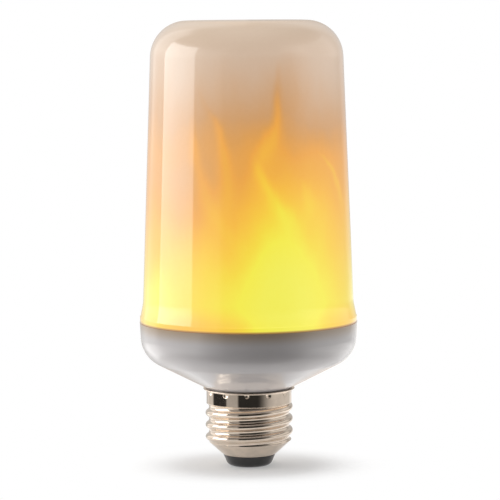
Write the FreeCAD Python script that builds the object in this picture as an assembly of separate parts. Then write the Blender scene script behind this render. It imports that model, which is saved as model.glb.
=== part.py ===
# Flame effect LED bulb with a large Edison screw cap. Every length is in millimetres.
# The bulb stands on its cap: the origin is the middle of the centre contact's face, +Z runs up
# the axis to the flat top of the diffuser, and -Y is the side that faces the viewer.

import FreeCAD, Part
import math
import os
from FreeCAD import Vector

# Fits, each used wherever two pieces meet in that way
slide_fit = 0.05
seat_gap = 0.05
lip_gap = 0.1

# The bulb as a whole
body_r = 32.55
overall_height = 133.5
bowl_height = 19.95

# Screw cap, to the usual sizes of the large Edison thread
thread_pitch = 3.629
thread_major_r = 13.1
thread_depth = 1.05
thread_reach = 14.3
thread_turns_below = 3.5
thread_run_out = 0.4
thread_strips = 8
thread_width_share = 0.86
cap_sheet = 0.3
mouth_r = 8.0
mouth_z = 3.6
mouth_angle = 42.5
collar_drop = 0.33
collar_rise = 1.3
collar_slope = 0.3
collar_height = 4.4
lip_reach = 0.93
crimp_count = 12
crimp_first_angle = -3.0
crimp_ball_r = 1.0
crimp_depth = 0.3
crimp_drop = 1.0

# Insulator and centre contact at the foot of the cap
contact_stand_out = 0.15
insulator_foot_width = 3.2
insulator_foot_round = 2.0
insulator_skirt_inset = 0.15
insulator_flange_reach = 2.0
insulator_flange_thick = 0.75
contact_head_r = 3.2
contact_head_height = 0.8
contact_head_round = 0.15
contact_shank_r = 1.1
contact_tail = 0.2

# Base housing: a bowl with a neck that the screw shell is crimped on
housing_wall = 1.6
bowl_angle = 27.3
bowl_side_draft = 0.5
bowl_corner_round = 9.0
bowl_foot_reach = 0.33
neck_foot_gap = 2.8
neck_wall = 1.55
spigot_wall = 1.45
spigot_height = 2.85
spigot_root_drop = 3.85
boss_count = 3
boss_first_angle = 30.0
boss_margin = 1.65
boss_r = 3.0
boss_hole_depth = 9.5

# Diffuser cover
diffuser_wall = 1.5
diffuser_shoulder = 11.0
diffuser_draft = 2.17
rim_inset = 0.1
rim_band_height = 1.7
rim_step = 0.12
flare_depth = 0.95
flare_rise = 5.85
flare_round = 14.0
rim_socket_depth = 3.6

# Light column: a tube on a flange, with a board wrapped round it and a disc board on top
flange_rise = 0.35
flange_thick = 1.5
flange_hole_share = 0.41
column_inset = 12.15
column_headroom = 13.3
tube_wall = 1.5
tube_root_round = 0.8
tube_lip = 1.7
shelf_width = 2.4
shelf_thick = 1.2
wrap_thick = 0.4
wrap_foot_gap = 2.0
wrap_head_gap = 2.7
wrap_seam_width = 1.6
top_board_thick = 1.2

# Light-emitting packages
led_width = 2.8
led_length = 3.5
led_height = 0.8
led_window_share = 0.7
led_window_depth = 0.12
led_columns = 12
led_rows = 8
led_row_margin = 5.0
top_led_count = 3
top_led_circle_share = 0.48

# Driver board and what is soldered to it
groove_depth = 0.45
groove_run_out = 1.2
board_thick = 1.2
board_foot_rise = 3.05
board_headroom = 3.5
pin_r = 0.3
pin_stub = 0.9
input_can_r = 4.0
input_can_length = 12.0
output_can_r = 3.15
output_can_length = 10.0
can_spacing = 0.7
can_headroom = 0.7
can_groove_depth = 0.35
can_pin_spacing = 3.5
choke_r = 4.2
choke_core_r = 1.9
choke_length = 8.0
choke_flange = 1.2
choke_winding_r = 3.7
choke_pin_spacing = 5.0
resistor_r = 1.5
resistor_cap_r = 1.75
resistor_length = 7.0
resistor_cap_length = 1.6
resistor_inset = 4.5
resistor_rise = 6.95
resistor_lead_reach = 1.9
chip_leg_width = 0.42
chip_leg_thick = 0.2
chip_leg_reach = 1.1
chip_lift = 0.15
chip_taper = 0.25
controller_size = (3.9, 9.9, 1.5)
controller_legs = 8
controller_drop = 5.3
rectifier_size = (3.9, 4.7, 2.4)
rectifier_legs = 2
rectifier_rise = 5.95

# Wires and screws
wire_r = 0.5
wire_bend = 0.9
wire_stand_off = 2.4
supply_wire_x = 3.0
supply_wire_rise = 2.75
led_wire_inset = 2.9
led_wire_rise = 2.3
screw_r = 1.45
screw_length = 8.5
screw_head_r = 2.7
screw_head_height = 1.8
screw_slot_width = 0.6
screw_slot_depth = 0.9

# Worked out from the values above, from the foot of the cap upwards
axis = Vector(0, 0, 1)
centre = Vector(0, 0, 0)
mouth_slope = math.tan(math.radians(mouth_angle))
mouth_bore_r = mouth_r - cap_sheet / math.sin(math.radians(mouth_angle))
insulator_plug_r = mouth_bore_r - slide_fit
insulator_flange_r = insulator_plug_r + insulator_flange_reach
insulator_flange_z = mouth_z + insulator_flange_reach * mouth_slope
insulator_top_z = insulator_flange_z + insulator_flange_thick
contact_top_z = insulator_top_z + contact_tail
thread_top_z = mouth_z + thread_reach
root_r = thread_major_r - thread_depth
collar_r = thread_major_r - collar_drop
collar_z = thread_top_z + collar_rise
lip_r = collar_r + lip_reach
lip_top_z = collar_z + collar_height
crimp_z = lip_top_z - crimp_drop
crimp_y = -(collar_r + crimp_ball_r - crimp_depth)
seat_z = lip_top_z + lip_gap
neck_r = root_r - cap_sheet - slide_fit
neck_collar_r = collar_r - cap_sheet - slide_fit
neck_bore_r = neck_r - neck_wall
neck_foot_z = insulator_top_z + neck_foot_gap
bowl_slope = math.tan(math.radians(bowl_angle))
bowl_foot_r = neck_collar_r + bowl_foot_reach
bowl_corner_r = body_r - bowl_side_draft
seam_z = seat_z + bowl_height
rim_r = body_r - rim_inset
rim_bore_r = rim_r - diffuser_wall
flare_r = rim_r - flare_depth
flare_z = seam_z + flare_rise
spigot_r = rim_bore_r - 3 * slide_fit
spigot_bore_r = spigot_r - spigot_wall
spigot_root_z = seam_z - spigot_root_drop
flange_r = spigot_bore_r - 2 * slide_fit
flange_z = seam_z + flange_rise
flange_top_z = flange_z + flange_thick
flange_hole_r = flange_r * flange_hole_share
boss_circle_r = flange_r - boss_r - boss_margin
tube_r = body_r - column_inset
tube_bore_r = tube_r - tube_wall
tube_top_z = overall_height - column_headroom
shelf_z = tube_top_z - tube_lip
shelf_r = tube_bore_r - shelf_width
wrap_r = tube_r + slide_fit
wrap_face_r = wrap_r + wrap_thick
wrap_foot_z = flange_top_z + wrap_foot_gap
wrap_top_z = tube_top_z - wrap_head_gap
board_face = board_thick / 2
board_half_width = neck_bore_r + groove_depth - slide_fit
board_foot_z = neck_foot_z + board_foot_rise
board_top_z = flange_z - board_headroom
input_can_x = can_spacing + input_can_r + pin_r
input_can_z = board_top_z - can_headroom - input_can_r
output_can_x = -(can_spacing + output_can_r + pin_r)
output_can_z = board_top_z - can_headroom - output_can_r
choke_z = input_can_z - math.sqrt((input_can_r + choke_r + can_spacing) ** 2 - input_can_x ** 2)
resistor_x = -(board_half_width - resistor_inset)
resistor_z = board_foot_z + resistor_rise
controller_z = board_top_z - controller_drop
rectifier_z = board_foot_z + rectifier_rise
supply_wire_z = board_foot_z + supply_wire_rise
neutral_z = (insulator_top_z + neck_foot_z) / 2
neutral_cone_r = mouth_bore_r + (neutral_z - wire_r - mouth_z) / mouth_slope
neutral_end_r = min(root_r - cap_sheet, neutral_cone_r) - seat_gap
led_wire_x = board_half_width - led_wire_inset
led_wire_z = seat_z + led_wire_rise


def rounded(points, rounds, closed):
    """Wire through the points, with an arc of its own radius at each corner that has one."""
    count = len(points)
    edges = []
    ends = []
    for i, corner in enumerate(points):
        inner = closed or 0 < i < count - 1
        if not inner or rounds[i] == 0:
            ends.append((corner, corner))
            continue
        back = (points[i - 1] - corner).normalize()
        ahead = (points[(i + 1) % count] - corner).normalize()
        half = back.getAngle(ahead) / 2
        reach = rounds[i] / math.tan(half)
        middle = (back + ahead).normalize()
        crown = corner + middle * (rounds[i] / math.sin(half) - rounds[i])
        first = corner + back * reach
        last = corner + ahead * reach
        edges.append((i, Part.Arc(first, crown, last).toShape()))
        ends.append((first, last))
    for i in range(count if closed else count - 1):
        start = ends[i][1]
        finish = ends[(i + 1) % count][0]
        if start.distanceToPoint(finish) > 1e-6:
            edges.append((i + 0.5, Part.makeLine(start, finish)))
    return Part.Wire([edge for place, edge in sorted(edges, key=lambda item: item[0])])


def turned(corners):
    """Solid of revolution from (radius, height) corners, with a third number where one is rounded."""
    points = [Vector(c[0], 0, c[1]) for c in corners]
    rounds = [c[2] if len(c) > 2 else 0 for c in corners]
    return Part.Face(rounded(points, rounds, True)).revolve(centre, axis, 360)


def upright(radius, low, high, x=0.0, y=0.0):
    """Cylinder along Z."""
    return Part.makeCylinder(radius, high - low, Vector(x, y, low))


def block(x, y, z):
    """Box between two limits along each axis."""
    return Part.makeBox(x[1] - x[0], y[1] - y[0], z[1] - z[0], Vector(x[0], y[0], z[0]))


def around(shape, angle):
    """Copy of a shape turned about the axis."""
    turned_copy = shape.copy()
    turned_copy.rotate(centre, axis, angle)
    return turned_copy


def ring_of(shape, count, first=0.0):
    """Copies of a shape spread evenly about the axis."""
    return [around(shape, first + 360 / count * i) for i in range(count)]


def wire_along(points, radius, bend):
    """Round wire through the points, bent at each corner."""
    path = rounded(points, [bend] * len(points), False)
    start = points[0]
    circle = Part.Circle(start, points[1] - start, radius).toShape()
    return path.makePipeShell([Part.Wire(circle)], True, True)


# Screw cap
def knuckle_outline(offset):
    """Half-wave of the rolled thread: round crest, round root, each a third of a circle or so."""
    knuckle = ((thread_pitch / 2) ** 2 + thread_depth ** 2) / (4 * thread_depth)
    half = thread_pitch / 2 * thread_width_share
    points = []
    for i in range(thread_strips + 1):
        z = half * (2 * i / thread_strips - 1)
        if abs(z) <= thread_pitch / 4:
            r = thread_major_r - knuckle + math.sqrt(knuckle ** 2 - z ** 2)
        else:
            from_root = thread_pitch / 2 - abs(z)
            r = root_r + knuckle - math.sqrt(knuckle ** 2 - from_root ** 2)
        points.append(Vector(r - offset, 0, z))
    inner_r = root_r - 2 * cap_sheet - offset
    return [Vector(inner_r, 0, -half)] + points + [Vector(inner_r, 0, half)]


def thread_ridge(offset):
    """Helical ridge swept along the thread, before its ends are trimmed."""
    turns = thread_turns_below + thread_run_out
    helix = Part.makeHelix(thread_pitch, thread_pitch * turns, root_r)
    outline = knuckle_outline(offset)
    sweep = Part.BRepOffsetAPI.MakePipeShell(Part.Wire(helix.Edges))
    sweep.setFrenetMode(True)
    sweep.add(Part.makePolygon(outline + outline[:1]))
    sweep.build()
    sweep.makeSolid()
    ridge = sweep.shape()
    ridge.translate(Vector(0, 0, thread_top_z - thread_pitch * thread_turns_below))
    ridge.rotate(centre, axis, -360 * thread_turns_below)
    return ridge


def cap_form(offset):
    """Filled form of the screw shell, drawn in by an offset from its outer face."""
    foot_r = mouth_r - offset / math.sin(math.radians(mouth_angle))
    barrel_r = root_r - offset
    ring_r = collar_r - offset
    limit_r = thread_major_r + thread_depth / 4
    collar_foot_z = collar_z - collar_slope
    core = turned([
        (0, mouth_z),
        (foot_r, mouth_z),
        (barrel_r, mouth_z + (barrel_r - foot_r) * mouth_slope),
        (barrel_r, collar_foot_z),
        (ring_r, collar_z),
        (ring_r, lip_top_z),
        (0, lip_top_z),
    ])
    limit = turned([
        (0, mouth_z),
        (foot_r, mouth_z),
        (limit_r, mouth_z + (limit_r - foot_r) * mouth_slope),
        (limit_r, thread_top_z + thread_depth / 2),
        (ring_r - slide_fit, collar_z),
        (ring_r - slide_fit, collar_z + thread_pitch),
        (0, collar_z + thread_pitch),
    ])
    ball = Part.makeSphere(crimp_ball_r + offset, Vector(0, crimp_y, crimp_z))
    return core.fuse(thread_ridge(offset).common(limit)).cut(ring_of(ball, crimp_count, crimp_first_angle))


def screw_shell():
    """Thin rolled sheet with the thread, a row of punched dents and a lip at its upper edge."""
    lip = turned([
        (collar_r - cap_sheet, lip_top_z - cap_sheet),
        (lip_r, lip_top_z - cap_sheet),
        (lip_r, lip_top_z, cap_sheet / 3),
        (collar_r - cap_sheet, lip_top_z),
    ])
    return cap_form(0).cut(cap_form(cap_sheet)).fuse(lip).removeSplitter()


def cap_insulator():
    """Black moulding held in the shell's mouth, with a seat for the centre contact."""
    head_seat_z = contact_head_height + seat_gap
    skirt_z = mouth_z - seat_gap
    return turned([
        (contact_head_r + slide_fit, contact_stand_out),
        (contact_head_r + insulator_foot_width, contact_stand_out, insulator_foot_round),
        (mouth_r - insulator_skirt_inset, skirt_z),
        (insulator_plug_r, skirt_z),
        (insulator_plug_r, mouth_z),
        (insulator_flange_r, insulator_flange_z),
        (insulator_flange_r, insulator_top_z),
        (contact_shank_r + slide_fit, insulator_top_z),
        (contact_shank_r + slide_fit, head_seat_z),
        (contact_head_r + slide_fit, head_seat_z),
    ])


def centre_contact():
    """Flat-headed rivet that carries the live supply."""
    return turned([
        (0, 0),
        (contact_head_r, 0, contact_head_round),
        (contact_head_r, contact_head_height),
        (contact_shank_r, contact_head_height),
        (contact_shank_r, contact_top_z),
        (0, contact_top_z),
    ])


# Housing and diffuser
def base_housing():
    """Bowl with neck, spigot for the diffuser, screw bosses and grooves for the driver board."""
    wall_rise = housing_wall / math.cos(math.radians(bowl_angle))
    corner_z = seat_z + (bowl_corner_r - bowl_foot_r) * bowl_slope
    inner_corner_r = bowl_corner_r - housing_wall
    inner_foot_z = seat_z + wall_rise
    inner_corner_z = inner_foot_z + (inner_corner_r - bowl_foot_r) * bowl_slope
    bore_top_z = inner_foot_z + (neck_bore_r - bowl_foot_r) * bowl_slope
    body = turned([
        (neck_bore_r, neck_foot_z),
        (neck_bore_r, bore_top_z),
        (inner_corner_r, inner_corner_z, bowl_corner_round - housing_wall),
        (inner_corner_r, spigot_root_z - spigot_wall),
        (spigot_bore_r, spigot_root_z),
        (spigot_bore_r, seam_z + spigot_height),
        (spigot_r, seam_z + spigot_height),
        (spigot_r, seam_z),
        (body_r, seam_z),
        (bowl_corner_r, corner_z, bowl_corner_round),
        (bowl_foot_r, seat_z),
        (neck_collar_r, seat_z),
        (neck_collar_r, collar_z + 2 * slide_fit + collar_slope),
        (neck_r, collar_z),
        (neck_r, neck_foot_z),
    ])
    bowl = turned([
        (0, seat_z + housing_wall / 2),
        (bowl_foot_r, seat_z + housing_wall / 2),
        (bowl_corner_r - housing_wall / 2, corner_z + housing_wall / 2, bowl_corner_round),
        (bowl_corner_r - housing_wall / 2, seam_z),
        (0, seam_z),
    ])
    above_bowl = upright(boss_circle_r + boss_r, seam_z - seat_gap, flange_z)
    boss = upright(boss_r, seat_z, flange_z - seat_gap, boss_circle_r).common(bowl.fuse(above_bowl))
    hole_top_z = flange_z + seat_gap
    hole = upright(screw_r + slide_fit, hole_top_z - boss_hole_depth, hole_top_z, boss_circle_r)
    body = body.fuse(ring_of(boss, boss_count, boss_first_angle))
    body = body.cut(ring_of(hole, boss_count, boss_first_angle))
    groove_x = board_half_width + slide_fit
    groove_y = board_face + slide_fit
    groove_z = (board_foot_z - seat_gap, inner_foot_z + groove_run_out)
    groove = block((-groove_x, groove_x), (-groove_y, groove_y), groove_z)
    ball = Part.makeSphere(crimp_ball_r + cap_sheet + slide_fit, Vector(0, crimp_y, crimp_z))
    return body.cut([groove] + ring_of(ball, crimp_count, crimp_first_angle)).removeSplitter()


def diffuser_cover():
    """Tall blown-looking cover: a rim band, a slight flare, a drafted wall and a flat crown."""
    draft = math.tan(math.radians(diffuser_draft))
    crown_r = flare_r - (overall_height - flare_z) * draft
    foot_z = seam_z + seat_gap
    band_z = foot_z + rim_band_height
    socket_z = seam_z + rim_socket_depth
    return turned([
        (rim_r, foot_z),
        (rim_r, band_z),
        (rim_r - rim_step, band_z),
        (flare_r, flare_z, flare_round),
        (crown_r, overall_height, diffuser_shoulder),
        (0, overall_height),
        (0, overall_height - diffuser_wall),
        (crown_r - diffuser_wall, overall_height - diffuser_wall, diffuser_shoulder - diffuser_wall),
        (flare_r - diffuser_wall, flare_z, flare_round),
        (rim_bore_r, socket_z),
        (rim_bore_r, foot_z),
    ])


# Light column
def led_carrier():
    """Tube that holds both light boards, with the flange that is screwed to the housing."""
    column = turned([
        (flange_hole_r, flange_z),
        (flange_r, flange_z),
        (flange_r, flange_top_z),
        (tube_r, flange_top_z, tube_root_round),
        (tube_r, tube_top_z),
        (tube_bore_r, tube_top_z),
        (tube_bore_r, shelf_z),
        (shelf_r, shelf_z),
        (shelf_r, shelf_z - shelf_thick),
        (tube_bore_r, shelf_z - 2 * shelf_thick),
        (tube_bore_r, flange_top_z),
        (flange_hole_r, flange_top_z),
    ])
    hole = upright(screw_r + 3 * slide_fit, flange_z - seat_gap, flange_top_z + seat_gap, boss_circle_r)
    return column.cut(ring_of(hole, boss_count, boss_first_angle))


def led_wrap_board():
    """Flexible board wrapped round the tube, with its seam at the back."""
    wrap = upright(wrap_face_r, wrap_foot_z, wrap_top_z)
    wrap = wrap.cut(upright(wrap_r, wrap_foot_z - seat_gap, wrap_top_z + seat_gap))
    half = wrap_seam_width / 2
    return wrap.cut(block((-half, half), (0, wrap_face_r + half), (wrap_foot_z, wrap_top_z)))


def led_package():
    """One package lying on the XY plane with its light window upwards."""
    half_x = led_width / 2
    half_y = led_length / 2
    body = block((-half_x, half_x), (-half_y, half_y), (0, led_height))
    window_x = half_x * led_window_share
    window_y = half_y * led_window_share
    window = block((-window_x, window_x), (-window_y, window_y), (led_height - led_window_depth, led_height))
    return body.cut(window)


def side_leds():
    """Rows of packages on the wrapped board, facing outwards."""
    face_y = wrap_face_r + slide_fit
    low = wrap_foot_z + led_row_margin
    step = (wrap_top_z - wrap_foot_z - 2 * led_row_margin) / (led_rows - 1)
    package = led_package()
    package.rotate(centre, Vector(1, 0, 0), 90)
    first_angle = 180 / led_columns
    leds = []
    for row in range(led_rows):
        placed = package.copy()
        placed.translate(Vector(0, -face_y, low + step * row))
        leds += ring_of(placed, led_columns, first_angle)
    return Part.makeCompound(leds)


def top_led_board():
    """Disc board that closes the top of the tube."""
    low = shelf_z + seat_gap
    return upright(tube_bore_r - slide_fit, low, low + top_board_thick)


def top_leds():
    """Packages on the disc board, facing up."""
    circle_r = tube_bore_r * top_led_circle_share
    package = led_package()
    package.translate(Vector(0, -circle_r, shelf_z + 2 * seat_gap + top_board_thick))
    return Part.makeCompound(ring_of(package, top_led_count))


# Driver board and its parts
def can_pins(x, z):
    """Centres of a capacitor's two pins, one above the other on the board."""
    return [(x, z - can_pin_spacing / 2), (x, z + can_pin_spacing / 2)]


def pins_through(places, start_y):
    """Round pins along Y from a part's base through the board."""
    length = board_face + pin_stub - start_y
    return [Part.makeCylinder(pin_r, length, Vector(x, start_y, z), Vector(0, 1, 0)) for x, z in places]


def across_board(corners, x, z):
    """Turned form laid square to the board, with height zero just off the board's front face."""
    form = turned(corners)
    form.rotate(centre, Vector(1, 0, 0), 90)
    form.translate(Vector(x, -(board_face + seat_gap), z))
    return form


def electrolytic_can(radius, length, x, z):
    """Can of an electrolytic capacitor with the groove near its base and its two pins."""
    can = across_board([
        (0, 0),
        (radius, 0, 0.4),
        (radius, 1.4),
        (radius - can_groove_depth, 1.9),
        (radius, 2.4),
        (radius, length, 0.5),
        (0, length),
    ], x, z)
    return can.fuse(pins_through(can_pins(x, z), -(board_face + 2 * can_groove_depth)))


def choke_core():
    """Ferrite drum with its two pins."""
    drum = across_board([
        (0, 0),
        (choke_r, 0),
        (choke_r, choke_flange),
        (choke_core_r, choke_flange),
        (choke_core_r, choke_length - choke_flange),
        (choke_r, choke_length - choke_flange),
        (choke_r, choke_length),
        (0, choke_length),
    ], 0, choke_z)
    return drum.fuse(pins_through(choke_pins, -(board_face + choke_flange / 2)))


def choke_winding():
    """Copper winding between the drum's flanges."""
    low = choke_flange + slide_fit
    high = choke_length - choke_flange - slide_fit
    inner = choke_core_r + slide_fit
    return across_board([
        (inner, low),
        (choke_winding_r, low, 0.3),
        (choke_winding_r, high, 0.3),
        (inner, high),
    ], 0, choke_z)


def chip(size, legs, z):
    """Moulded package on the board's rear face, with bent legs along both long sides."""
    width, length, height = size
    foot_y = board_face + seat_gap
    body_y = foot_y + chip_lift
    middle_y = body_y + height / 2
    narrow = width - 2 * chip_taper
    layers = []
    for y, w, h in ((body_y, narrow, length - 2 * chip_taper), (middle_y, width, length),
                    (body_y + height, narrow, length - 2 * chip_taper)):
        corners = [Vector(sx * w / 2, y, z + sz * h / 2) for sx, sz in ((-1, -1), (1, -1), (1, 1), (-1, 1))]
        layers.append(Part.makePolygon(corners + corners[:1]))
    body = Part.makeLoft(layers, True, True)
    pitch = length / legs
    leg_z = chip_leg_width / 2
    shoulder_x = width / 2 - chip_taper
    bend_x = width / 2 + chip_leg_reach / 2
    tip_x = width / 2 + chip_leg_reach
    pieces = []
    for i in range(legs):
        low = z - length / 2 + pitch * (i + 0.5) - leg_z
        span = (low, low + chip_leg_width)
        for side in (-1, 1):
            parts_of_leg = [
                (shoulder_x, bend_x, middle_y - chip_leg_thick / 2, middle_y + chip_leg_thick / 2),
                (bend_x - chip_leg_thick, bend_x, foot_y, middle_y),
                (bend_x - chip_leg_thick, tip_x, foot_y, foot_y + chip_leg_thick),
            ]
            for x0, x1, y0, y1 in parts_of_leg:
                pieces.append(block(sorted((side * x0, side * x1)), (y0, y1), span))
    return body.fuse(pieces).removeSplitter()


def fusible_resistor():
    """Axial resistor with end caps, standing along the board on its two bent leads."""
    y = -(board_face + seat_gap + resistor_cap_r)
    half = resistor_length / 2
    body = turned([
        (0, -half),
        (resistor_cap_r, -half, 0.4),
        (resistor_cap_r, -half + resistor_cap_length, 0.2),
        (resistor_r, -half + resistor_cap_length, 0.2),
        (resistor_r, half - resistor_cap_length, 0.2),
        (resistor_cap_r, half - resistor_cap_length, 0.2),
        (resistor_cap_r, half, 0.4),
        (0, half),
    ])
    body.translate(Vector(resistor_x, y, resistor_z))
    leads = []
    for side, (x, end_z) in zip((-1, 1), resistor_pins):
        start = Vector(x, y, resistor_z + side * (half - resistor_cap_length / 2))
        corner = Vector(x, y, end_z)
        tip = Vector(x, board_face + pin_stub, end_z)
        leads.append(wire_along([start, corner, tip], pin_r, 2 * pin_r))
    return body.fuse(leads)


def driver_board():
    """Board that slides down the neck's grooves, drilled for every pin and wire."""
    half = board_half_width
    board = block((-half, half), (-board_face, board_face), (board_foot_z, board_top_z))
    drills = [(pin_r, place) for place in component_pins] + [(wire_r, place) for place in wire_holes]
    cutters = []
    for radius, (x, z) in drills:
        start = Vector(x, -board_thick, z)
        cutters.append(Part.makeCylinder(radius + slide_fit, 2 * board_thick, start, Vector(0, 1, 0)))
    return board.cut(cutters)


# Wires and screws
def board_end(x, z):
    """Last two points of a wire that runs up the board's front and turns through it."""
    return [Vector(x, -wire_stand_off, z), Vector(x, board_face + pin_stub, z)]


def live_lead():
    """Wire from the centre contact to the driver board."""
    low = contact_top_z + seat_gap
    points = [
        Vector(0, 0, low),
        Vector(0, 0, low + 2 * wire_bend),
        Vector(-supply_wire_x, -wire_stand_off, board_foot_z - wire_bend),
    ]
    return wire_along(points + board_end(-supply_wire_x, supply_wire_z), wire_r, wire_bend)


def neutral_lead():
    """Wire from the inner wall of the screw shell, under the neck's edge, to the driver board."""
    points = [
        Vector(neutral_end_r, 0, neutral_z),
        Vector(root_r / 2, 0, neutral_z),
        Vector(supply_wire_x, -wire_stand_off, board_foot_z - wire_bend),
    ]
    return wire_along(points + board_end(supply_wire_x, supply_wire_z), wire_r, wire_bend)


def led_leads():
    """Pair of wires from the driver board's rear up the inside of the tube to the disc board."""
    leads = []
    for side in (-1, 1):
        x = side * led_wire_x
        points = [
            Vector(x, -(board_face + pin_stub), led_wire_z),
            Vector(x, wire_stand_off, led_wire_z),
            Vector(x, wire_stand_off, shelf_z),
        ]
        leads.append(wire_along(points, wire_r, wire_bend))
    return Part.makeCompound(leads)


def carrier_screws():
    """Self-tapping screws with domed heads and cross slots."""
    seat = flange_top_z + seat_gap
    top = seat + screw_head_height
    screw = turned([
        (0, seat - screw_length),
        (screw_r / 3, seat - screw_length),
        (screw_r, seat - screw_length + screw_r),
        (screw_r, seat),
        (screw_head_r, seat),
        (screw_head_r, top, screw_head_height * 0.6),
        (0, top),
    ])
    half = screw_slot_width / 2
    arm = screw_head_r * 0.6
    slot = block((-arm, arm), (-half, half), (top - screw_slot_depth, top))
    screw = screw.cut([slot, around(slot, 90)])
    screw.translate(Vector(boss_circle_r, 0, 0))
    return Part.makeCompound(ring_of(screw, boss_count, boss_first_angle))


# Holes that the driver board needs, from the parts that pass through it
resistor_reach = resistor_length / 2 + resistor_lead_reach
resistor_pins = [(resistor_x, resistor_z - resistor_reach), (resistor_x, resistor_z + resistor_reach)]
choke_pins = [(side * choke_pin_spacing / 2, choke_z) for side in (-1, 1)]
component_pins = resistor_pins + choke_pins
component_pins += can_pins(input_can_x, input_can_z) + can_pins(output_can_x, output_can_z)
wire_holes = [(side * supply_wire_x, supply_wire_z) for side in (-1, 1)]
wire_holes += [(side * led_wire_x, led_wire_z) for side in (-1, 1)]

pieces = {
    "diffuser_cover": diffuser_cover(),
    "base_housing": base_housing(),
    "screw_shell": screw_shell(),
    "cap_insulator": cap_insulator(),
    "centre_contact": centre_contact(),
    "led_carrier": led_carrier(),
    "led_wrap_board": led_wrap_board(),
    "side_leds": side_leds(),
    "top_led_board": top_led_board(),
    "top_leds": top_leds(),
    "driver_board": driver_board(),
    "input_capacitor": electrolytic_can(input_can_r, input_can_length, input_can_x, input_can_z),
    "output_capacitor": electrolytic_can(output_can_r, output_can_length, output_can_x, output_can_z),
    "choke_core": choke_core(),
    "choke_winding": choke_winding(),
    "controller_chip": chip(controller_size, controller_legs, controller_z),
    "bridge_rectifier": chip(rectifier_size, rectifier_legs, rectifier_z),
    "fusible_resistor": fusible_resistor(),
    "live_lead": live_lead(),
    "neutral_lead": neutral_lead(),
    "led_leads": led_leads(),
    "carrier_screws": carrier_screws(),
}

os.makedirs("parts", exist_ok=True)
for name, shape in pieces.items():
    shape.exportStep("parts/" + name + ".step")
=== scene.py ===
import math

import bpy
import numpy as np
from bpy.props import FloatProperty, FloatVectorProperty, IntProperty, PointerProperty
from mathutils import Matrix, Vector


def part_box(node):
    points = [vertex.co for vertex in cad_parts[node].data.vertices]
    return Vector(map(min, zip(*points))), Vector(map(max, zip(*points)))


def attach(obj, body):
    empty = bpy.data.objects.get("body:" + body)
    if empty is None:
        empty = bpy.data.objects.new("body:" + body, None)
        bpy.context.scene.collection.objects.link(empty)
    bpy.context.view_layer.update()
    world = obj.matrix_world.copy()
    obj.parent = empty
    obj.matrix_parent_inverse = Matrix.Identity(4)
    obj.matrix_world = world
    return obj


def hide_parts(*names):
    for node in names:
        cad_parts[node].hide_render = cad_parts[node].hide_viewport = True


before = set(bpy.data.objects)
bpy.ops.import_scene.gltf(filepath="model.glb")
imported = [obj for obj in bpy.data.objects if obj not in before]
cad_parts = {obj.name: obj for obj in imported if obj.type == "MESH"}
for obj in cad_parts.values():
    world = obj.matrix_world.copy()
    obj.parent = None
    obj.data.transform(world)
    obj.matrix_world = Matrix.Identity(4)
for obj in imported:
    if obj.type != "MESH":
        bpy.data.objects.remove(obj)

bl_info = {
    "name": "Flame effect LED bulb",
    "version": (1, 0, 0),
    "blender": (4, 5, 0),
    "location": "View3D > Sidebar > Flame bulb",
    "description": "Dresses the bulb's frame with a glowing cover, a glossy housing and a plated screw cap",
    "category": "Object",
}

# Lengths are in metres, as in the frame, apart from the flame's tables, which are in millimetres.
# Angles round the bulb are measured from the front, -Y, and grow towards +X, the viewer's right.
COVER_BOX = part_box("diffuser_cover")
SHELL_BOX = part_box("screw_shell")
MM = 1000.0
DEGREES = 180 / math.pi


# Shader maths

class Value:
    """A socket with arithmetic, so that node maths reads as an expression."""

    def __init__(self, nodes, socket):
        self.nodes = nodes
        self.socket = socket

    def math(self, operation, *others):
        """Maths node on this value and the others, in that order."""
        inputs = dict(enumerate((self, *others)))
        return self.nodes.add("ShaderNodeMath", {"operation": operation}, inputs)

    def __add__(self, other):
        return self.math("ADD", other)

    __radd__ = __add__

    def __mul__(self, other):
        return self.math("MULTIPLY", other)

    __rmul__ = __mul__

    def __sub__(self, other):
        return self.math("SUBTRACT", other)

    def __rsub__(self, other):
        return self.nodes.add("ShaderNodeMath", {"operation": "SUBTRACT"}, {0: other, 1: self})

    def __truediv__(self, other):
        return self.math("DIVIDE", other)

    def __neg__(self):
        return self.math("MULTIPLY", -1.0)

    def step(self, low, high):
        """Smooth step: 0 below low, 1 above high, with an S curve between."""
        settings = {"interpolation_type": "SMOOTHSTEP"}
        return self.nodes.add("ShaderNodeMapRange", settings, {0: self, 1: low, 2: high, 3: 0.0, 4: 1.0})


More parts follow.
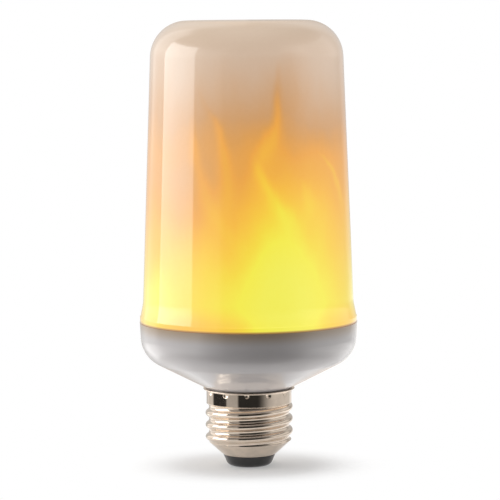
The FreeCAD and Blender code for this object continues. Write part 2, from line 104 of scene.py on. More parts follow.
class Nodes:
    """A node tree being filled; add() makes every node."""

    def __init__(self, tree):
        self.tree = tree
        tree.nodes.clear()

    def add(self, kind, settings=None, inputs=None, output=0):
        """New node of a kind, with its settings first and then its sockets' values or links."""
        node = self.tree.nodes.new(kind)
        for name, value in (settings or {}).items():
            if name == "stops":
                self.fill_ramp(node.color_ramp, value)
            else:
                setattr(node, name, value)
        for name, value in (inputs or {}).items():
            if isinstance(value, Value):
                self.tree.links.new(value.socket, node.inputs[name])
            else:
                node.inputs[name].default_value = value
        return Value(self, node.outputs[output]) if node.outputs else node

    @staticmethod
    def fill_ramp(ramp, stops):
        """Colour ramp stops, each a place and a colour."""
        while len(ramp.elements) > 1:
            ramp.elements.remove(ramp.elements[-1])
        ramp.elements[0].position = stops[0][0]
        ramp.elements[0].color = (*stops[0][1], 1.0)
        for place, colour in stops[1:]:
            ramp.elements.new(place).color = (*colour, 1.0)

    def place(self):
        """Place of the shaded point, in its object's coordinates."""
        return self.add("ShaderNodeTexCoord", output="Object")

    def axis(self, vector, name):
        """One part of a vector, X, Y or Z."""
        return self.add("ShaderNodeSeparateXYZ", {}, {"Vector": vector}, output=name)

    def mix(self, factor, first, second):
        """Colour between two colours, by the mix node's colour sockets: 6, 7 and output 2."""
        settings = {"data_type": "RGBA", "clamp_factor": True}
        return self.add("ShaderNodeMix", settings, {0: factor, 6: first, 7: second}, output=2)

    def vector(self, operation, first, second, output="Vector"):
        """Vector maths on two vectors."""
        return self.add("ShaderNodeVectorMath", {"operation": operation}, {0: first, 1: second}, output)

    def noise(self, place, scale, detail=3.0, roughness=0.5, output="Fac"):
        """Smooth noise, about 0.5 on average."""
        sockets = {"Vector": place, "Scale": scale, "Detail": detail, "Roughness": roughness}
        return self.add("ShaderNodeTexNoise", {}, sockets, output)

    def surface(self, values, bump=None, strength=0.1, distance=0.0001):
        """Principled surface, joined to the output."""
        if bump is not None:
            sockets = {"Height": bump, "Strength": strength, "Distance": distance}
            values["Normal"] = self.add("ShaderNodeBump", {}, sockets)
        shader = self.add("ShaderNodeBsdfPrincipled", {}, values)
        self.add("ShaderNodeOutputMaterial", {}, {"Surface": shader})


def srgb(red, green, blue):
    """Linear colour from screen values of 0 to 255."""
    return tuple(c / 12.92 if c <= 0.04045 else ((c + 0.055) / 1.055) ** 2.4
                 for c in (red / 255, green / 255, blue / 255))


def new_material(name):
    """Empty node material and its nodes."""
    material = bpy.data.materials.new(name)
    material.use_nodes = True
    return material, Nodes(material.node_tree)


# Shapes

def grid_object(name, points, close_around=True):
    """Object from a grid of points (rows, columns, xyz), joined around its columns if asked."""
    rows, columns = points.shape[:2]
    index = np.arange(rows * columns).reshape(rows, columns)
    across = np.roll(index, -1, axis=1) if close_around else index[:, 1:]
    here = index if close_around else index[:, :-1]
    faces = np.stack([here[:-1], across[:-1], across[1:], here[1:]], axis=-1).reshape(-1, 4)
    return mesh_object(name, points.reshape(-1, 3), faces)


def mesh_object(name, vertices, faces):
    """Smooth object from arrays of vertices and four-cornered faces."""
    mesh = bpy.data.meshes.new(name)
    mesh.vertices.add(len(vertices))
    mesh.vertices.foreach_set("co", vertices.astype(np.float32).ravel())
    mesh.loops.add(faces.size)
    mesh.loops.foreach_set("vertex_index", faces.astype(np.int32).ravel())
    mesh.polygons.add(len(faces))
    mesh.polygons.foreach_set("loop_start", np.arange(0, faces.size, 4, dtype=np.int32))
    mesh.update(calc_edges=True)
    mesh.validate()
    mesh.shade_smooth()
    piece = bpy.data.objects.new(name, mesh)
    bpy.context.scene.collection.objects.link(piece)
    return piece


def arc(centre, radius, start, finish, steps):
    """Points of a circle's arc in the plane of radius and height; angles in degrees."""
    angle = np.radians(np.linspace(start, finish, steps))
    return np.stack([centre[0] + radius * np.cos(angle), centre[1] + radius * np.sin(angle)], axis=-1)


def full_turn(segments):
    """Angles of a full turn, as a row, without its end."""
    return np.linspace(0, 2 * np.pi, segments, endpoint=False)[None, :]


def ring_points(r, angle, z):
    """Points (r cos a, r sin a, z) for every row of radii and heights and every angle a."""
    return np.stack([r * np.cos(angle), r * np.sin(angle), z + 0 * angle], axis=-1)


def turned(profile, segments):
    """Surface of revolution of a profile, a list of (radius, height) points."""
    return ring_points(profile[:, :1], full_turn(segments), profile[:, 1:])


def wall_profile(corners, steps, support=0.00025):
    """Closed outline of a wall from (radius, height, rounding) corners.

    Each corner is an arc that touches both its sides, with a point a little way along each side, the
    support, so that the flat stretches shade flat. A fourth number at a corner is its own support.
    The arc's centre lies rounding / sin(h) from the corner and its ends rounding / tan(h), where h is
    half the angle between the sides.
    """
    points = np.array([c[:2] for c in corners])
    pieces = []
    for i, corner in enumerate(points):
        rounding = corners[i][2]
        reach_along = corners[i][3] if len(corners[i]) > 3 else support
        back = points[i - 1] - corner
        ahead = points[(i + 1) % len(points)] - corner
        back_way = back / np.linalg.norm(back)
        ahead_way = ahead / np.linalg.norm(ahead)
        half = math.acos(np.clip(back_way @ ahead_way, -1, 1)) / 2
        reach = rounding / math.tan(half)
        middle = (back_way + ahead_way) / np.linalg.norm(back_way + ahead_way)
        centre = corner + middle * rounding / math.sin(half)
        start = corner + back_way * reach
        finish = corner + ahead_way * reach
        first = math.atan2(*(start - centre)[::-1])
        turn = (math.atan2(*(finish - centre)[::-1]) - first + math.pi) % (2 * math.pi) - math.pi
        angle = first + turn * np.linspace(0, 1, steps)
        bend = centre + rounding * np.stack([np.cos(angle), np.sin(angle)], axis=-1)
        pieces += [[start + back_way * reach_along], bend, [finish + ahead_way * reach_along]]
    return np.concatenate(pieces + [pieces[0]])


# Settings that a user would change

class CoverSettings(bpy.types.PropertyGroup):
    wall: FloatProperty(name="Wall", description="Thickness of the cover", default=0.0015, unit="LENGTH")
    draft: FloatProperty(name="Draft", description="Lean of the cover's side", default=math.radians(2.17),
                         subtype="ANGLE")
    shoulder: FloatProperty(name="Shoulder", description="Rounding of the crown", default=0.011,
                            unit="LENGTH")
    segments: IntProperty(name="Segments", description="Faces around the cover", default=256, min=32)
    glow: FloatProperty(name="Glow", description="Strength of the light from the cover", default=0.94, min=0)


class ShellSettings(bpy.types.PropertyGroup):
    pitch: FloatProperty(name="Pitch", description="Rise of the thread in one turn", default=0.003629,
                         unit="LENGTH")
    major: FloatProperty(name="Crest radius", description="Radius over the thread", default=0.0131,
                         unit="LENGTH")
    depth: FloatProperty(name="Depth", description="Depth of the thread", default=0.00105, unit="LENGTH")
    sheet: FloatProperty(name="Sheet", description="Thickness of the sheet", default=0.0003, unit="LENGTH")
    dents: IntProperty(name="Dents", description="Punched dents under the rim", default=12, min=0)
    plating: FloatVectorProperty(name="Plating", description="Colour of the plating", subtype="COLOR",
                                 default=(0.80, 0.68, 0.565), min=0, max=1)


class StageSettings(bpy.types.PropertyGroup):
    distance: FloatProperty(name="Distance", description="Camera's distance from the axis", default=0.80,
                            unit="LENGTH")
    height: FloatProperty(name="Height", description="Camera's height", default=0.140, unit="LENGTH")
    aside: FloatProperty(name="Aside", description="Camera's place along X", default=0.0006, unit="LENGTH")
    pitch: FloatProperty(name="Pitch", description="Camera's tilt below level", default=math.radians(5.356),
                         subtype="ANGLE")
    roll: FloatProperty(name="Roll", description="Camera's turn about its view", default=math.radians(0.40),
                        subtype="ANGLE")
    lens: FloatProperty(name="Lens", description="Focal length on a 36 mm sensor, in millimetres",
                        default=193.5)
    overhead: FloatProperty(name="Overhead", description="Power of the light over the table, in watts",
                            default=13.0, min=0)


# Flame

class Flame:
    """Heat of the flame on the cover, worked out from the angle round the bulb and the height.

    Angles are in degrees and heights in millimetres. Noise moves each point a little first, so that
    the flames swirl; `still` is the height that it leaves alone.
    """

    STRETCH = (1.0, 1.0, 0.45)  # the swirls are drawn out along the bulb
    SWIRLS = 75.0  # in a metre
    REACH = (0.006, 0.006, 0.014)  # in metres
    TAPER = 1.3  # a tongue's width at its foot, and 1 less at its tip

    def __init__(self, nodes):
        self.nodes = nodes
        place = nodes.place()
        self.still = nodes.axis(place, "Z") * MM
        stretched = nodes.vector("MULTIPLY", place, self.STRETCH)
        swirl = nodes.noise(stretched, self.SWIRLS, output="Color")
        drift = nodes.vector("SUBTRACT", swirl, (0.5, 0.5, 0.5))
        moved = nodes.vector("ADD", place, nodes.vector("MULTIPLY", drift, self.REACH))
        across = nodes.axis(moved, "X")
        along = nodes.axis(moved, "Y")
        self.height = nodes.axis(moved, "Z") * MM
        flat = nodes.add("ShaderNodeCombineXYZ", {}, {"X": across, "Y": along})
        self.way = nodes.add("ShaderNodeVectorMath", {"operation": "NORMALIZE"}, {0: flat})
        self.angle = across.math("ARCTAN2", -along) * DEGREES

    def swell(self, angle, width):
        """Hump round the bulb: 1 at an angle, falling to 1/e at a width either side."""
        middle = (math.sin(math.radians(angle)), -math.cos(math.radians(angle)), 0.0)
        sharpness = 1 / (1 - math.cos(math.radians(width)))
        near = self.nodes.vector("DOT_PRODUCT", self.way, middle, output="Value")
        return ((near - 1.0) * sharpness).math("EXPONENT")

    @staticmethod
    def under(height, top, foot):
        """0 above a top height, rising smoothly to 1 below a foot height."""
        return 1 - height.step(foot, top)

    def heart(self, angle, width, top, foot, heat):
        """Broad hot body of flame, between two heights."""
        return self.swell(angle, width) * self.under(self.height, top, foot) * heat

    def tongue(self, foot, tip, bend, width, heat):
        """Curved lick of flame from a foot to a tip, each an angle and a height, narrowing upwards.

        With t from 0 at the foot to 1 at the tip, its middle is the straight way plus 4 bend t (1 - t),
        and across it the heat falls as exp(-x^2), where x is 1 at width (TAPER - t) from the middle.
        """
        rise = (self.height - foot[1]) / (tip[1] - foot[1])
        middle = rise * (tip[0] - foot[0] + 4 * bend) + foot[0] - rise * rise * (4 * bend)
        off = (self.angle - middle) / ((self.TAPER - rise) * width)
        body = (off * off * -1.0).math("EXPONENT")
        return body * rise.step(-0.35, 0.3) * (1 - rise.step(0.55, 1.1)) * heat


# Angle, width, and how far the flame's edge stands higher there
LIFTS = (
    (-27, 18, 2.0), (18, 22, 3.0), (58, 14, -2.0), (-70, 14, 4.0),
    (105, 20, 7.0), (150, 14, -4.0), (-110, 16, -5.0), (-145, 18, 8.0), (178, 14, 4.0),
)
# Top, foot and heat of the layers that go all the way round
LAYERS = ((126, 90, 0.36), (90, 46, 0.31))
# Angle, width, top, foot and heat; below 0 it is a cooler hollow
HEARTS = (
    (20, 34, 106, 72, 0.22), (19, 19, 77, 53, 0.23), (-64, 20, 67, 52, 0.19), (-19, 14, 112, 86, 0.05),
    (-24, 32, 108, 86, -0.12), (-27, 30, 78, 60, 0.07),
    (112, 34, 104, 68, 0.22), (114, 20, 84, 58, 0.22),
    (-140, 36, 102, 68, 0.22), (-143, 20, 80, 56, 0.24), (178, 20, 84, 56, 0.16),
)
# Foot, tip, bend, width and heat
TONGUES = (
    ((8, 92), (19, 122), 2.5, 3.8, 0.10),
    ((22, 74), (3, 94), 0.5, 6.0, 0.13),
    ((38, 77), (33, 90), 0.5, 4.0, 0.07),
    ((66, 80), (44, 95), 3.0, 2.4, 0.08),
    ((-17, 76), (-30, 112), -7.0, 3.6, 0.07),
    ((-15, 78), (-30, 115), 9.0, 4.6, 0.07),
    ((126, 80), (110, 102), 2.0, 6.0, 0.13),
    ((98, 90), (104, 120), -3.0, 4.6, 0.10),
    ((-134, 82), (-150, 104), -2.0, 6.0, 0.13),
    ((-150, 92), (-141, 121), 3.0, 4.6, 0.10),
    ((-104, 84), (-112, 104), 3.0, 3.0, 0.08),
    ((-96, 82), (-110, 104), -4.0, 3.0, 0.08),
    ((166, 82), (174, 106), -3.0, 4.0, 0.10),
)
# Top, foot and heat of the cooler band over the seam and of the faint glow up to the crown
RIM_BAND = (52, 44.5, 0.16)
CROWN_GLOW = (133, 122, 0.10)
# Top, foot and screen colour of the painted shade line where the cover sits in the housing: the glow is
# darkened where the spigot inside would block it
SEAT_SHADE_LINE, SEAT_SHADE_COLOUR = (44.5, 43.8), (150, 96, 50)
# Share of full heat and screen colour; the cool colours are as much painted studio light on the milky cover
# as glow
GLOW_AND_PAINTED_LIGHT_COLOURS = (
    (0.0, (176, 152, 132)), (0.10, (204, 178, 156)), (0.25, (203, 158, 116)), (0.32, (205, 151, 96)),
    (0.38, (218, 152, 70)), (0.44, (236, 161, 48)), (0.54, (248, 184, 38)), (0.64, (250, 203, 38)),
    (0.73, (248, 220, 42)), (0.82, (247, 238, 58)), (1.0, (245, 240, 76)),
)


def flame_material(settings):
    """Milky cover lit from inside by flames, under a clear gloss. The base is darkened, so the glow's colour
    carries painted studio light on the milky plastic as well as the flames.
    """
    material, nodes = new_material("flame_cover")
    flame = Flame(nodes)
    lift = 0.0
    for angle, width, height in LIFTS:
        lift = flame.swell(angle, width) * height + lift
    level = flame.height - lift
    heat = 0.0
    for top, foot, warmth in LAYERS:
        heat = flame.under(level, top, foot) * warmth + heat
    for heart in HEARTS:
        heat = heat + flame.heart(*heart)
    for tongue in TONGUES:
        heat = heat + flame.tongue(*tongue)
    heat = heat - flame.under(flame.still, *RIM_BAND[:2]) * RIM_BAND[2]
    heat = heat * (1 - CROWN_GLOW[2]) + flame.under(flame.still, *CROWN_GLOW[:2]) * CROWN_GLOW[2]
    stops = [(place, srgb(*colour)) for place, colour in GLOW_AND_PAINTED_LIGHT_COLOURS]
    glow = nodes.add("ShaderNodeValToRGB", {"stops": stops}, {0: heat})
    # painted shade: the glow turns dark brown at the cover's foot, over the housing's spigot
    seat_shade = flame.under(flame.still, *SEAT_SHADE_LINE) * 0.9
    grain = nodes.noise(nodes.place(), 900.0, detail=2.0)
    nodes.surface({
        # darkened base: the cover's lit look is painted into the glow's colour instead
        "Base Color": nodes.mix(grain, (0.20, 0.17, 0.13, 1), (0.22, 0.19, 0.15, 1)),
        "Roughness": grain * 0.05 + 0.32,
        "Emission Color": nodes.mix(seat_shade, glow, (*srgb(*SEAT_SHADE_COLOUR), 1)),
        "Emission Strength": settings.glow,
        "Coat Weight": 1.0,
        "Coat Roughness": 0.03,
        "Coat IOR": 1.5,
    }, grain, 0.02)
    return material


# Heights of the cover over its foot, and how far in its parts lie from the rim
BAND_TOP, BAND_STEP = 0.0017, 0.00012
FLARE_TOP, FLARE_INSET, FLARE_BEND = 0.0058, 0.00095, 0.014
SPIGOT_TOP = 0.0036
AXIS_RADIUS = 0.00002  # the crown's profile starts this near the axis
RIM_EDGE, SPIGOT_BEND, BEND_STEPS = 0.00015, 0.001, 14
SHARP = (0.00005, 0.00001)  # rounding and support of a crisp corner
ON_AXIS = (0.00001, 0.00001)


class BULB_OT_cover(bpy.types.Operator):
    """Makes the milky cover that glows like a flame"""
    bl_idname = "flame_bulb.cover"
    bl_label = "Diffuser cover"

    def execute(self, context):
        settings = context.scene.flame_cover
        low, high = COVER_BOX
        rim, foot, crown = high.x, low.z, high.z
        band, flare = foot + BAND_TOP, foot + FLARE_TOP
        flare_r = rim - FLARE_INSET
        crown_r = flare_r - (crown - flare) * math.tan(settings.draft)
        wall, shoulder = settings.wall, settings.shoulder
        profile = wall_profile([
            (rim, foot, RIM_EDGE),
            (rim, band, *SHARP),
            (rim - BAND_STEP, band, *SHARP),
            (flare_r, flare, FLARE_BEND),
            (crown_r, crown, shoulder),
            (AXIS_RADIUS, crown, *ON_AXIS),
            (AXIS_RADIUS, crown - wall, *ON_AXIS),
            (crown_r - wall, crown - wall, shoulder - wall),
            (flare_r - wall, flare, FLARE_BEND),
            (rim - wall, foot + SPIGOT_TOP, SPIGOT_BEND),
            (rim - wall, foot, RIM_EDGE),
        ], BEND_STEPS)
        cover = grid_object("cover", turned(profile[::-1], settings.segments))
        cover.data.materials.append(flame_material(settings))
        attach(cover, "root")
        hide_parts("diffuser_cover")
        return {"FINISHED"}


# Screw cap

CAP_SEGMENTS = 360
SIDE_ROWS, STEP_ROWS, COLLAR_ROWS = 150, 6, 44
INNER_STRIDE = 5  # the inner wall keeps one row of the outer in five
MOUTH_Z, RIM_Z, RIM_RADIUS = SHELL_BOX[0].z, SHELL_BOX[1].z, SHELL_BOX[1].x
MOUTH_RADIUS = 0.0080
CONE_SLOPE = math.tan(math.radians(42.5))
COLLAR_Z = RIM_Z - 0.0044
COLLAR_INSET = 0.00033  # from the crests in to the collar
COLLAR_STEP = 0.0003  # height of the step from the thread out to the collar
TOP_CREST_Z = COLLAR_Z - 0.0013
RUN_OUT = 0.00005  # how far the last crest ends inside the collar
DENT_BALL, DENT_DEPTH, DENT_DROP = 0.0010, 0.0003, 0.0010
FIRST_DENT = math.radians(-93)
MOUTH_EDGE = 0.0002
MOUTH_FLAT, MOUTH_RISE = 1.45, 0.00006  # the mouth's inner edge: in by so many sheets, and up
CONE_FOOT = (0.00003, 0.00028)  # the cone's first point, out and up from the mouth
RIM_FILLET = 0.00035
RIM_FLAT = 0.00018  # from the rim's edge in to where its flat faces begin
CRISP = 0.00002  # support of a crisp edge at the rim's inner corner
SIDE_FOOT = 0.00045  # from the mouth up to the side's first row
SIDE_TOP = 0.00001  # from the rim's fillet down to the side's last row
COLLAR_EDGE = 0.0001  # support of the rim's top face, out from the collar


def thread_radius(theta, z, settings):
    """Radius of the rolled thread: round crests and round roots, each an arc of one radius.

    The crest rises one pitch in a turn and passes the height TOP_CREST_Z at +X. An arc of radius
    ((p/2)^2 + d^2) / 4d, with p the pitch and d the depth, meets the next one a quarter pitch on.
    """
    half = settings.pitch / 2
    bend = (half ** 2 + settings.depth ** 2) / (4 * settings.depth)
    turns = (z - TOP_CREST_Z) / settings.pitch - theta / (2 * np.pi)
    off = np.abs((turns + 0.5) % 1.0 - 0.5) * settings.pitch
    crest = settings.major - bend + np.sqrt(bend ** 2 - np.minimum(off, half / 2) ** 2)
    valley = bend - np.sqrt(bend ** 2 - np.minimum(half - off, half / 2) ** 2)
    return np.where(off <= half / 2, crest, settings.major - settings.depth + valley)


def side_radius(theta, z, settings):
    """Radius of the shell's side: the least of cone, thread and ceiling, and the collar over them.

    The ceiling lowers the last crest until it runs out under the collar. Over COLLAR_STEP, the radius
    grows in a straight line from the root to the collar.
    """
    major, root, collar = settings.major, settings.major - settings.depth, settings.major - COLLAR_INSET
    cone = MOUTH_RADIUS + (z - MOUTH_Z) / CONE_SLOPE
    over = TOP_CREST_Z + settings.depth * 0.5
    ease = np.clip((z - over) / (COLLAR_Z - over), 0, 1)
    ceiling = major + (collar - RUN_OUT - major) * ease
    radius = np.minimum(np.minimum(thread_radius(theta, z, settings), cone), ceiling)
    step = np.clip((z - COLLAR_Z) / COLLAR_STEP + 1, 0, 1)
    ring = root + (collar - root) * step
    return np.where(step > 0, np.where(step < 1, np.maximum(radius, ring), collar), radius)


def dented(radius, theta, z, settings):
    """Radius pressed in where a ball reaches into the collar: c + b - s - sqrt(b^2 - a^2 - h^2).

    Here c is the collar's radius, b the ball's, s the dent's depth, and a and h the distances from
    the dent's middle round the collar and along it.
    """
    if not settings.dents:
        return radius
    collar = settings.major - COLLAR_INSET
    spacing = 2 * np.pi / settings.dents
    aside = ((theta - FIRST_DENT + spacing / 2) % spacing - spacing / 2) * collar
    reach = DENT_BALL ** 2 - aside ** 2 - (z - (RIM_Z - DENT_DROP)) ** 2
    face = collar + DENT_BALL - DENT_DEPTH - np.sqrt(np.maximum(reach, 0))
    return np.where(reach > 0, np.minimum(radius, face), radius)


class BULB_OT_shell(bpy.types.Operator):
    """Rolls the plated screw shell with its thread, dents and rim"""
    bl_idname = "flame_bulb.shell"
    bl_label = "Screw shell"

    def execute(self, context):
        settings = context.scene.flame_shell
        sheet, collar = settings.sheet, settings.major - COLLAR_INSET
        theta = full_turn(CAP_SEGMENTS)
        step_z, past_step_z = COLLAR_Z - COLLAR_STEP, COLLAR_Z + COLLAR_STEP / 3
        z = np.concatenate([
            np.linspace(MOUTH_Z + SIDE_FOOT, step_z, SIDE_ROWS, endpoint=False),
            np.linspace(step_z, past_step_z, STEP_ROWS, endpoint=False),
            np.linspace(past_step_z, RIM_Z - sheet - RIM_FILLET - SIDE_TOP, COLLAR_ROWS),
        ])[:, None]
        radius = dented(side_radius(theta, z, settings), theta, z, settings)
        wall = ring_points(radius, theta, z)
        inner_wall = ring_points(radius - sheet, theta, z)[::-INNER_STRIDE]
        mouth = turned(np.concatenate([
            [(MOUTH_RADIUS - sheet * MOUTH_FLAT, MOUTH_Z + MOUTH_RISE)],
            arc((MOUTH_RADIUS - MOUTH_EDGE, MOUTH_Z + MOUTH_EDGE), MOUTH_EDGE, -110, -10, 7),
            [(MOUTH_RADIUS + CONE_FOOT[0], MOUTH_Z + CONE_FOOT[1])],
        ]), CAP_SEGMENTS)
        rim = turned(np.concatenate([
            arc((collar + RIM_FILLET, RIM_Z - sheet - RIM_FILLET), RIM_FILLET, 180, 90, 7),
            [(RIM_RADIUS - RIM_FLAT, RIM_Z - sheet)],
            arc((RIM_RADIUS - sheet / 2, RIM_Z - sheet / 2), sheet / 2, -80, 80, 9),
            [(RIM_RADIUS - RIM_FLAT, RIM_Z), (collar + COLLAR_EDGE, RIM_Z),
             (collar - sheet + CRISP, RIM_Z), (collar - sheet, RIM_Z - CRISP)],
        ]), CAP_SEGMENTS)
        shell = grid_object("shell", np.concatenate([mouth, wall, rim, inner_wall, mouth[:1]]))
        shell.data.materials.append(plating_material(settings))
        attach(shell, "root")
        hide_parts("screw_shell")
        return {"FINISHED"}


def shades(colour, share):
    """A colour and a darker shade of it, as socket values."""
    return (*colour, 1), (*(c * share for c in colour), 1)


def plating_material(settings):
    """Warm nickel plating, drawn and rolled, with a faint haze and a few rub marks."""
    material, nodes = new_material("nickel_plating")
    place = nodes.place()
    around = nodes.vector("MULTIPLY", place, (1.0, 1.0, 14.0))
    drawn = nodes.noise(around, 90.0, detail=4.0, roughness=0.6)
    haze = nodes.noise(place, 240.0)
    nodes.surface({
        "Base Color": nodes.mix(haze.step(0.35, 0.75), *shades(settings.plating, 0.86)),
        "Metallic": 1.0,
        "Roughness": haze * 0.04 + drawn * 0.03 + 0.03,
    }, drawn, 0.04)
    return material


# Base housing and the parts inside

def housing_material():
    """Glossy injection moulded plastic, off-white, darker and warmer near the seam: painted shade under the
    cover's rim and painted warm glow from the cover.
    """
    material, nodes = new_material("housing_plastic")
    place = nodes.place()
    ripple = nodes.noise(place, 55.0, detail=2.0)
    speck = nodes.noise(place, 700.0, detail=2.0)
    # painted shade and painted warm glow near the seam, in the base colour
    seam_shade_and_glow = (nodes.axis(place, "Z") * MM).step(39.5, 43.6)
    white = nodes.mix(ripple, (0.66, 0.63, 0.635, 1), (0.70, 0.67, 0.67, 1))
    nodes.surface({
        "Base Color": nodes.mix(seam_shade_and_glow, white, (0.50, 0.38, 0.27, 1)),
        "Roughness": speck * 0.04 + 0.30,
        "Coat Weight": 1.0,
        "Coat Roughness": 0.06,
        "Coat IOR": 1.5,
    }, ripple, 0.02, 0.0002)
    return material


def plastic(name, colour, rough, gloss=0.0):
    """Moulded plastic with a fine grain."""
    material, nodes = new_material(name)
    place = nodes.place()
    grain = nodes.noise(place, 1500.0)
    cloud = nodes.noise(place, 160.0, detail=2.0)
    nodes.surface({
        "Base Color": nodes.mix(cloud, *shades(colour, 0.8)),
        "Roughness": grain * 0.15 + rough,
        "Coat Weight": gloss,
        "Coat Roughness": 0.15,
    }, grain, 0.12)
    return material


def metal(name, colour, rough):
    """Bare or plated metal with fine marks from handling."""
    material, nodes = new_material(name)
    stretched = nodes.vector("MULTIPLY", nodes.place(), (1.0, 1.0, 8.0))
    marks = nodes.noise(stretched, 300.0, detail=4.0)
    nodes.surface({
        "Base Color": nodes.mix(marks, *shades(colour, 0.8)),
        "Metallic": 1.0,
        "Roughness": marks * 0.2 + rough,
    }, marks, 0.08)
    return material


def winding_material():
    """Enamelled copper wire, wound in turns 0.3 mm apart along the winding's axis, with painted shade in the
    grooves between turns.
    """
    material, nodes = new_material("copper_winding")
    along = nodes.axis(nodes.place(), "Y")
    turns = (along * (2 * math.pi / 0.0003)).math("SINE") * 0.5 + 0.5
    nodes.surface({
        # painted shade: dark brown in the grooves between turns, bright copper on their tops
        "Base Color": nodes.mix(turns, (0.35, 0.10, 0.03, 1), (0.80, 0.33, 0.12, 1)),
        "Metallic": 0.9,
        "Roughness": turns * -0.1 + 0.35,
    }, turns, 0.6)
    return material


def package_material():
    """Light package: a yellow phosphor face that glows."""
    material, nodes = new_material("light_package")
    grain = nodes.noise(nodes.place(), 2500.0, detail=2.0)
    nodes.surface({
        "Base Color": nodes.mix(grain.step(0.3, 0.7), (0.90, 0.62, 0.12, 1), (0.95, 0.72, 0.22, 1)),
        "Roughness": grain * 0.2 + 0.3,
        "Emission Color": (1.0, 0.55, 0.12, 1),
        "Emission Strength": 2.0,
    })
    return material


def laminate_material():
    """Green board laminate with a woven look under the varnish."""
    material, nodes = new_material("driver_laminate")
    place = nodes.place()
    weft = (nodes.axis(place, "X") * 9000.0).math("SINE")
    warp = (nodes.axis(place, "Z") * 9000.0).math("SINE")
    weave = weft * warp * 0.5 + 0.5
    patches = nodes.noise(place, 120.0, detail=1.0)
    green = nodes.mix(weave, (0.02, 0.16, 0.06, 1), (0.03, 0.21, 0.09, 1))
    nodes.surface({
        "Base Color": nodes.mix(patches.step(0.52, 0.56) * 0.5, green, (0.05, 0.30, 0.14, 1)),
        "Roughness": weave * 0.1 + 0.3,
    }, weave, 0.1)
    return material


def dress(material, *names):
    """Gives frame nodes one material in all their slots."""
    for name in names:
        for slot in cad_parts[name].material_slots:
            slot.material = material


class BULB_OT_housing(bpy.types.Operator):
    """Gives the base housing its glossy plastic"""
    bl_idname = "flame_bulb.housing"
    bl_label = "Base housing"

    def execute(self, context):
        dress(housing_material(), "base_housing")
        return {"FINISHED"}


class BULB_OT_contact(bpy.types.Operator):
    """Dresses the insulator and the contact at the foot of the cap"""
    bl_idname = "flame_bulb.contact"
    bl_label = "Insulator and contact"

    def execute(self, context):
        dress(plastic("insulator_moulding", (0.012, 0.0115, 0.012), 0.26, 0.4), "cap_insulator")
        dress(metal("contact_brass", (0.72, 0.58, 0.36), 0.22), "centre_contact")
        return {"FINISHED"}


class BULB_OT_inside(bpy.types.Operator):
    """Dresses the light column, the driver board and what is joined to it"""
    bl_idname = "flame_bulb.inside"
    bl_label = "Parts inside"

    def execute(self, context):
        dress(plastic("carrier_moulding", (0.75, 0.75, 0.73), 0.4), "led_carrier")
        dress(plastic("light_board_resist", (0.82, 0.82, 0.78), 0.3, 0.2), "led_wrap_board", "top_led_board")
        dress(package_material(), "side_leds", "top_leds")
        dress(plastic("can_sleeve", (0.015, 0.02, 0.05), 0.3, 0.3), "input_capacitor", "output_capacitor")
        dress(plastic("chip_moulding", (0.02, 0.02, 0.022), 0.45), "controller_chip", "bridge_rectifier")
        dress(laminate_material(), "driver_board")
        dress(plastic("ferrite", (0.05, 0.048, 0.05), 0.5), "choke_core")
        dress(winding_material(), "choke_winding")
        dress(plastic("resistor_coating", (0.20, 0.33, 0.30), 0.4), "fusible_resistor")
        dress(plastic("red_sleeving", (0.45, 0.02, 0.015), 0.4), "live_lead")
        dress(plastic("white_sleeving", (0.7, 0.69, 0.66), 0.4), "neutral_lead", "led_leads")
        dress(metal("screw_steel", (0.55, 0.54, 0.52), 0.25), "carrier_screws")
        return {"FINISHED"}


# Stage

def between(value, low, high):
    """1 between two limits, each a pair of values between which it fades."""
    return value.step(*low) * (1 - value.step(*high))


# Bright areas round the bulb: between which turns and which rises each lies, and its brightness.
# Turn is the angle round the bulb and rise the angle above the level, both in degrees. Each limit is
# a pair that it fades between, and a limit at 180 either way leaves that end open.
BRIGHT_AREAS = (
    # tall panel on the left, dimmer at its foot
    ((-115, -113), (-65, -63), (-5.2, -4.6), (28, 31), 2.21),
    ((-115, -113), (-65, -63), (-3.6, -1.0), (28, 31), 1.19),
    # softer light beside it, to the back
    ((-151, -141), (-119, -109), (-36, -24), (44, 56), 0.6825),
    ((-151, -141), (-119, -109), (-3.6, -1.0), (44, 56), 0.3675),
    # weak light to the front of it
    ((-67, -61), (-33, -27), (-38, -22), (18, 34), 0.42),
    # broad light on the right, and more of it under the level
    ((22, 76), (180, 181), (-38, -22), (32, 48), 0.25),
    ((22, 76), (180, 181), (-38, -22), (-6.5, -4.5), 0.40),
    ((48, 72), (124, 148), (-0.2, 1.8), (31, 33), 0.50),
    # table and room under the housing, left and right
    ((-162, -138), (-62, -38), (-32, -28), (-13.5, -9.5), 1.05),
    ((-162, -138), (-62, -38), (-58, -52), (-33, -27), 0.50),
    ((50, 80), (135, 165), (-57, -53), (-13.5, -9.5), 0.75),
    # wall behind, left and right
    ((-181, -180), (-152, -136), (-50, -30), (50, 70), 0.60),
    ((136, 152), (180, 181), (-50, -30), (50, 70), 0.28),
)


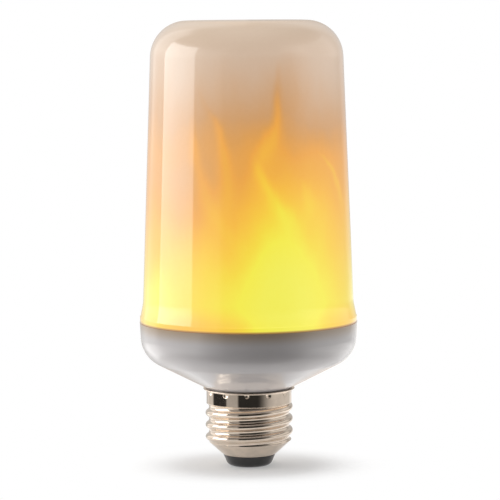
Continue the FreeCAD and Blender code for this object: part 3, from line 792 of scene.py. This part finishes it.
def studio(scene):
    """White studio: bright areas by direction, which the camera itself sees as plain white."""
    world = bpy.data.worlds.new("studio")
    world.use_nodes = True
    scene.world = world
    nodes = Nodes(world.node_tree)
    way = nodes.add("ShaderNodeTexCoord", output="Generated")
    turn = nodes.axis(way, "X").math("ARCTAN2", -nodes.axis(way, "Y")) * DEGREES
    rise = nodes.axis(way, "Z").math("ARCSINE") * DEGREES
    light = rise.step(10, 80) * 0.35 + 0.03
    for turn_low, turn_high, rise_low, rise_high, brightness in BRIGHT_AREAS:
        area = between(turn, turn_low, turn_high) * between(rise, rise_low, rise_high)
        light = light + area * brightness
    far_back = turn.math("ABSOLUTE").step(168, 174)
    tint = nodes.mix(far_back, (1.0, 0.99, 0.975, 1), (1.0, 0.90, 0.81, 1))
    seen = nodes.add("ShaderNodeLightPath", output="Is Camera Ray")
    unlit = nodes.add("ShaderNodeBackground", {}, {"Color": tint, "Strength": light})
    white = nodes.add("ShaderNodeBackground", {}, {"Color": (1, 1, 1, 1), "Strength": 1.0})
    both = nodes.add("ShaderNodeMixShader", {}, {0: seen, 1: unlit, 2: white})
    nodes.add("ShaderNodeOutputWorld", {}, {"Surface": both})


def floor_material():
    """White table, matt near the bulb; farther off it is plain white to the camera and clear to light."""
    material, nodes = new_material("white_floor")
    place = nodes.place()
    grain = nodes.noise(place, 30.0, detail=2.0)
    across = nodes.axis(place, "X")
    along = nodes.axis(place, "Y") * 1.3
    away = (across * across + along * along).math("SQRT")
    seen = nodes.add("ShaderNodeLightPath", output="Is Camera Ray")
    colour = nodes.mix(grain, (0.64, 0.64, 0.64, 1), (0.66, 0.66, 0.66, 1))
    matt = nodes.add("ShaderNodeBsdfDiffuse", {}, {"Color": colour})
    glow = nodes.add("ShaderNodeEmission", {}, {"Strength": 0.32})
    lit = nodes.add("ShaderNodeAddShader", {}, {0: matt, 1: glow})
    white = nodes.add("ShaderNodeEmission", {}, {"Strength": 1.0})
    clear = nodes.add("ShaderNodeBsdfTransparent")
    for_camera = nodes.add("ShaderNodeMixShader", {}, {0: away.step(0.012, 0.050), 1: lit, 2: white})
    for_light = nodes.add("ShaderNodeMixShader", {}, {0: away.step(0.045, 0.075), 1: lit, 2: clear})
    both = nodes.add("ShaderNodeMixShader", {}, {0: seen, 1: for_light, 2: for_camera})
    nodes.add("ShaderNodeOutputMaterial", {}, {"Surface": both})
    return material


FLOOR_REACH, FLOOR_POINTS = 30, 9
OVERHEAD_Z, OVERHEAD_WIDTH = 1.2, 0.9
SENSOR_WIDTH = 36  # in millimetres
FARTHEST = 100  # that the camera sees


class BULB_OT_stage(bpy.types.Operator):
    """Sets up the white floor, the studio light and the camera"""
    bl_idname = "flame_bulb.stage"
    bl_label = "Stage"

    def execute(self, context):
        scene = context.scene
        settings = scene.flame_stage
        scene.view_settings.view_transform = "Standard"
        studio(scene)
        self.add_floor()
        self.add_overhead(scene, settings)
        self.add_camera(scene, settings)
        return {"FINISHED"}

    def add_floor(self):
        """Flat square grid at height 0."""
        span = np.linspace(-FLOOR_REACH, FLOOR_REACH, FLOOR_POINTS)
        across, along = np.meshgrid(span, span)
        floor = grid_object("floor", np.stack([across, along, 0 * across], axis=-1), False)
        floor.data.materials.append(floor_material())

    def add_overhead(self, scene, settings):
        """Round soft light over the table, which shows in no highlight."""
        lamp = bpy.data.lights.new("overhead", "AREA")
        lamp.shape = "DISK"
        lamp.size = OVERHEAD_WIDTH
        lamp.energy = settings.overhead
        overhead = bpy.data.objects.new("overhead", lamp)
        overhead.location = (0, 0, OVERHEAD_Z)
        overhead.visible_glossy = False
        overhead.visible_camera = False
        scene.collection.objects.link(overhead)

    def add_camera(self, scene, settings):
        """Camera in front of the bulb, looking a little down."""
        camera_data = bpy.data.cameras.new("camera")
        camera_data.sensor_width = SENSOR_WIDTH
        camera_data.lens = settings.lens
        camera_data.clip_end = FARTHEST
        camera = bpy.data.objects.new("camera", camera_data)
        scene.collection.objects.link(camera)
        place = Matrix.Translation((settings.aside, -settings.distance, settings.height))
        tilt = Matrix.Rotation(math.pi / 2 - settings.pitch, 4, "X")
        turn = Matrix.Rotation(-settings.roll, 4, "Z")
        camera.matrix_world = place @ tilt @ turn
        scene.camera = camera


class BULB_PT_panel(bpy.types.Panel):
    """Lists the pieces of the bulb and their settings"""
    bl_idname = "BULB_PT_panel"
    bl_label = "Flame bulb"
    bl_space_type = "VIEW_3D"
    bl_region_type = "UI"
    bl_category = "Flame bulb"

    def draw(self, context):
        groups = (
            (BULB_OT_cover, context.scene.flame_cover),
            (BULB_OT_shell, context.scene.flame_shell),
            (BULB_OT_housing, None),
            (BULB_OT_contact, None),
            (BULB_OT_inside, None),
            (BULB_OT_stage, context.scene.flame_stage),
        )
        for operator, settings in groups:
            box = self.layout.box()
            box.operator(operator.bl_idname)
            for name in settings.__annotations__ if settings else ():
                box.prop(settings, name)


PIECES = (BULB_OT_cover, BULB_OT_shell, BULB_OT_housing, BULB_OT_contact, BULB_OT_inside, BULB_OT_stage)
CLASSES = (CoverSettings, ShellSettings, StageSettings, *PIECES, BULB_PT_panel)


def register():
    for kind in CLASSES:
        bpy.utils.register_class(kind)
    bpy.types.Scene.flame_cover = PointerProperty(type=CoverSettings)
    bpy.types.Scene.flame_shell = PointerProperty(type=ShellSettings)
    bpy.types.Scene.flame_stage = PointerProperty(type=StageSettings)


def unregister():
    del bpy.types.Scene.flame_stage
    del bpy.types.Scene.flame_shell
    del bpy.types.Scene.flame_cover
    for kind in reversed(CLASSES):
        bpy.utils.unregister_class(kind)


def main():
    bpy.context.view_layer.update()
    register()
    bpy.ops.flame_bulb.cover()
    bpy.ops.flame_bulb.shell()
    bpy.ops.flame_bulb.housing()
    bpy.ops.flame_bulb.contact()
    bpy.ops.flame_bulb.inside()
    bpy.ops.flame_bulb.stage()


if __name__ == "__main__":
    main()
